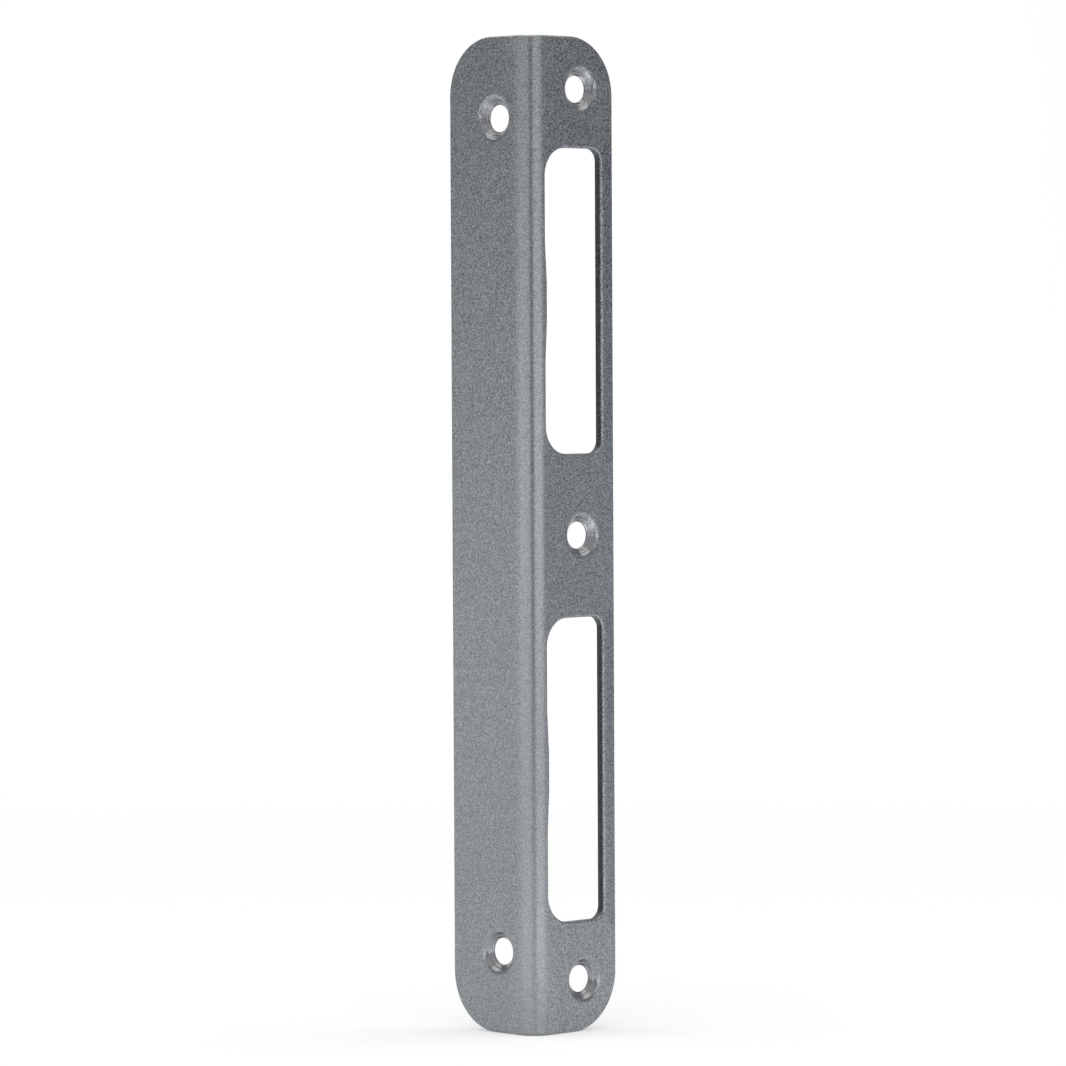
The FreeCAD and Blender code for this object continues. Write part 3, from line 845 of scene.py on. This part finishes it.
# %% Paper sweep
SWEEP_FRONT = 2.5
SWEEP_BACK = 1.25
SWEEP_HALF_WIDTH = 2.5
SWEEP_RADIUS = 0.6
SWEEP_HEIGHT = 4.5
BEND_ROWS = 17
SWEEP_COLUMNS = 3

away = -direction(CAMERA_AZIMUTH, 0)
leftward = UPRIGHT.cross(away)


def paper_sweep():
    """Grid of the sweep. Its profile is a straight floor, a quarter circle and a straight wall, and each
    row of the grid is one place of the profile, carried from side to side."""
    bend = np.linspace(0, math.pi / 2, BEND_ROWS)
    wall = SWEEP_BACK + SWEEP_RADIUS
    run = np.concatenate([[-SWEEP_FRONT], SWEEP_BACK + SWEEP_RADIUS * np.sin(bend), [wall]])[:, None]
    rise = np.concatenate([[0], SWEEP_RADIUS * (1 - np.cos(bend)), [SWEEP_HEIGHT]])[:, None]
    across = np.linspace(-SWEEP_HALF_WIDTH, SWEEP_HALF_WIDTH, SWEEP_COLUMNS)[None, :]
    places = run[..., None] * np.array(away) + across[..., None] * np.array(leftward)
    places[..., 2] += rise - HALF_LENGTH
    return places


def open_grid_faces(shape):
    """Four-sided faces of a grid whose rows are open lines, all facing up and to the front."""
    number = np.arange(shape[0] * shape[1]).reshape(shape)
    ring = (number[:-1, :-1], number[1:, :-1], number[1:, 1:], number[:-1, 1:])
    return np.stack(ring, axis=-1).reshape(-1, 4)


sweep_grid = paper_sweep()
quads = open_grid_faces(sweep_grid.shape[:2])
sweep_mesh = bpy.data.meshes.new("paper_sweep")
sweep_mesh.from_pydata(sweep_grid.reshape(-1, 3).tolist(), [], quads.tolist())
sweep_mesh.polygons.foreach_set("use_smooth", np.ones(len(quads), bool))
sweep = bpy.data.objects.new("paper_sweep", sweep_mesh)
bpy.context.scene.collection.objects.link(sweep)
print("the floor faces", [round(value, 2) for value in sweep_mesh.polygons[0].normal])

# %% [markdown]
# ## Paper
#
# Near the plate the paper is a lit matt surface, so it keeps the plate's shadow, and a little light of its
# own lifts it to white. Further off it fades into plain white, which the metal sees as well. In front it
# fades to the grey of the room, because a darker room behind the camera is what draws the dark line down
# the middle of the fold. It darkens to the right too, because the window leg is the darker one.

# %% Where on the paper
ROOM_LEVEL = 0.47
MATT_REACH, PLAIN_REACH = 0.15, 0.5
WHITE_REACH, GREY_REACH = -0.25, -0.7
LEVEL_SIDE, DIM_SIDE = -0.22, -0.72
SIDE_COLOUR = (0.48, 0.48, 0.51, 1)
WHITE = (1, 1, 1, 1)

paper = bpy.data.materials.new("white_paper")
paper.use_nodes = True
sheet = paper.node_tree
sheet.nodes.remove(sheet.nodes["Principled BSDF"])
spot = add_node(sheet, "ShaderNodeTexCoord").outputs["Object"]
plate_foot = (0, 0, -HALF_LENGTH)
from_foot = vector_node(sheet, "DISTANCE", {0: spot, 1: plate_foot}).outputs["Value"]
behind = vector_node(sheet, "DOT_PRODUCT", {0: spot, 1: tuple(away)}).outputs["Value"]
plain_share = fade(sheet, from_foot, MATT_REACH, PLAIN_REACH)
to_left = vector_node(sheet, "DOT_PRODUCT", {0: spot, 1: tuple(leftward)}).outputs["Value"]
whiteness = fade(sheet, behind, GREY_REACH, WHITE_REACH, ROOM_LEVEL, 1.0)
side_inputs = {"Fac": fade(sheet, to_left, DIM_SIDE, LEVEL_SIDE), "Color1": SIDE_COLOUR, "Color2": WHITE}
far_colour = add_node(sheet, "ShaderNodeMixRGB", side_inputs).outputs[0]
print("paper is matt within", MATT_REACH, "m of the plate's foot")

# %% The paper's shader
PAPER_COLOUR = (0.79, 0.80, 0.83, 1)
PAPER_LIFT = 0.35

rays = add_node(sheet, "ShaderNodeLightPath").outputs
mirrored = math_node(sheet, "MAXIMUM", rays["Is Glossy Ray"], rays["Is Transmission Ray"])
seen = math_node(sheet, "MAXIMUM", rays["Is Camera Ray"], mirrored)
matt = add_node(sheet, "ShaderNodeBsdfDiffuse", {"Color": PAPER_COLOUR}).outputs[0]
lift = add_node(sheet, "ShaderNodeEmission", {"Strength": times(sheet, seen, PAPER_LIFT)}).outputs[0]
near_paper = add_node(sheet, "ShaderNodeAddShader", {0: matt, 1: lift}).outputs[0]
far_paper = add_node(sheet, "ShaderNodeEmission", {"Color": far_colour, "Strength": whiteness}).outputs[0]
far_share = times(sheet, plain_share, seen)
paper_inputs = {0: far_share, 1: near_paper, 2: far_paper}
paper_look = add_node(sheet, "ShaderNodeMixShader", paper_inputs).outputs[0]
sheet.links.new(paper_look, sheet.nodes["Material Output"].inputs["Surface"])
sweep_mesh.materials.append(paper)
print("paper nodes:", len(sheet.nodes))

# %% [markdown]
# ## Room and lamps
#
# A flat metal face is a mirror with a soft edge, so lighting it means choosing what it sees. The legs see
# the room at the sides, an even grey. The fold sees everything from side to side: two wide lamps stand left
# and right of the camera, each with a brighter one in front of it near the floor, and they draw the two
# light bands down the fold. At its foot the fold sees the paper in front, below the edge of the picture,
# so a small lamp lies there on either side and carries the bands on. Two small ones at the sides lift the
# lower half of the legs, a wide faint one on the right gives the window leg a trace of lilac, and two warm
# ones, high in front and overhead, light the countersinks.
#
# A lamp's level is the brightness of its face as a share of white. A face that glows evenly gives off its
# level times pi times its area, so that is the lamp's power.

# %% Room
room = bpy.data.worlds.new("quiet_room")
bpy.context.scene.world = room
room.use_nodes = True
room_light = room.node_tree.nodes["Background"]
room_light.inputs["Color"].default_value = WHITE
room_light.inputs["Strength"].default_value = ROOM_LEVEL
print("room level", ROOM_LEVEL)

# %% Lamps
NEUTRAL = (1.0, 1.0, 1.0)
WARM = (1.0, 0.96, 0.86)
CREAM = (1.0, 0.965, 0.94)
LILAC = (1.0, 0.7, 1.0)
PALE_LILAC = (1.0, 0.95, 1.0)
LYING_HEIGHT = 1 * MM
LYING_DISTANCE = 0.115
LYING_SIZE = (0.11, 0.12)


def lamp_at(name, matrix, size, level, tint=NEUTRAL):
    """Rectangular lamp with a matrix, a width and height, and a level and tint of its face."""
    data = bpy.data.lights.new(name, "AREA")
    data.shape = "RECTANGLE"
    data.size, data.size_y = size
    data.energy = level * math.pi * size[0] * size[1]
    data.color = tint
    lamp = bpy.data.objects.new(name, data)
    lamp.matrix_world = matrix
    bpy.context.scene.collection.objects.link(lamp)
    return lamp


def soft_lamp(name, azimuth, elevation, distance, height, *face):
    """Lamp that looks at the fold's corner at a height, from an azimuth and an elevation in degrees. The
    azimuth is counted from the camera's, and grows to the left of the picture."""
    target = Vector((CORNER_X, CORNER_Y, height))
    towards = direction(CAMERA_AZIMUTH + math.radians(azimuth), math.radians(elevation))
    return lamp_at(name, aimed(target + towards * distance, target, UPRIGHT), *face)


def lying_lamp(name, azimuth, *glow):
    """Lamp that lies just above the paper at an azimuth in front of the fold, and shines straight up."""
    outward = direction(CAMERA_AZIMUTH + math.radians(azimuth), 0)
    base = Vector((CORNER_X, CORNER_Y, LYING_HEIGHT - HALF_LENGTH)) + outward * LYING_DISTANCE
    return lamp_at(name, aimed(base, base + UPRIGHT, outward), LYING_SIZE, *glow)


# A soft lamp's row is its name, azimuth, elevation, distance, height, size, level and tint. A lying lamp's
# row is its name, azimuth, level and tint.
lamps = [
    soft_lamp("left_band", 40.0, 0, 1.0, 0.215, (1.23, 0.6), 0.263, CREAM),
    soft_lamp("right_band", -40.4, 0, 1.0, 0.215, (1.0, 0.6), 0.405, CREAM),
    soft_lamp("left_band_low", 39.2, 0, 0.9, -0.02, (1.06, 0.13), 1.12, CREAM),
    soft_lamp("right_band_low", -41.9, 0, 0.9, -0.02, (0.95, 0.13), 1.33, CREAM),
    soft_lamp("left_side", 92, 0, 0.5, 0.0, (0.4, 0.17), 0.23),
    soft_lamp("right_side", -92, 0, 0.5, -0.02, (0.4, 0.1), 0.2, PALE_LILAC),
    lying_lamp("left_lying", 41, 0.45, CREAM),
    lying_lamp("right_lying", -42, 0.75, CREAM),
    soft_lamp("right_fill", -90, 0, 1.0, 0.3, (1.0, 0.8), 0.03, LILAC),
    soft_lamp("high_front", 0, 46, 1.0, 0, (1.5, 0.6), 0.3, WARM),
    soft_lamp("overhead", 0, 93, 1.0, 0, (2.2, 0.95), 1.0, WARM),
]
print("lamps:", [f"{lamp.name} {lamp.data.energy:.2f} W" for lamp in lamps])

# %% [markdown]
# ## Close
#
# The plain view transform shows colours as they are written.

# %% Finish
bpy.context.scene.view_settings.view_transform = "Standard"
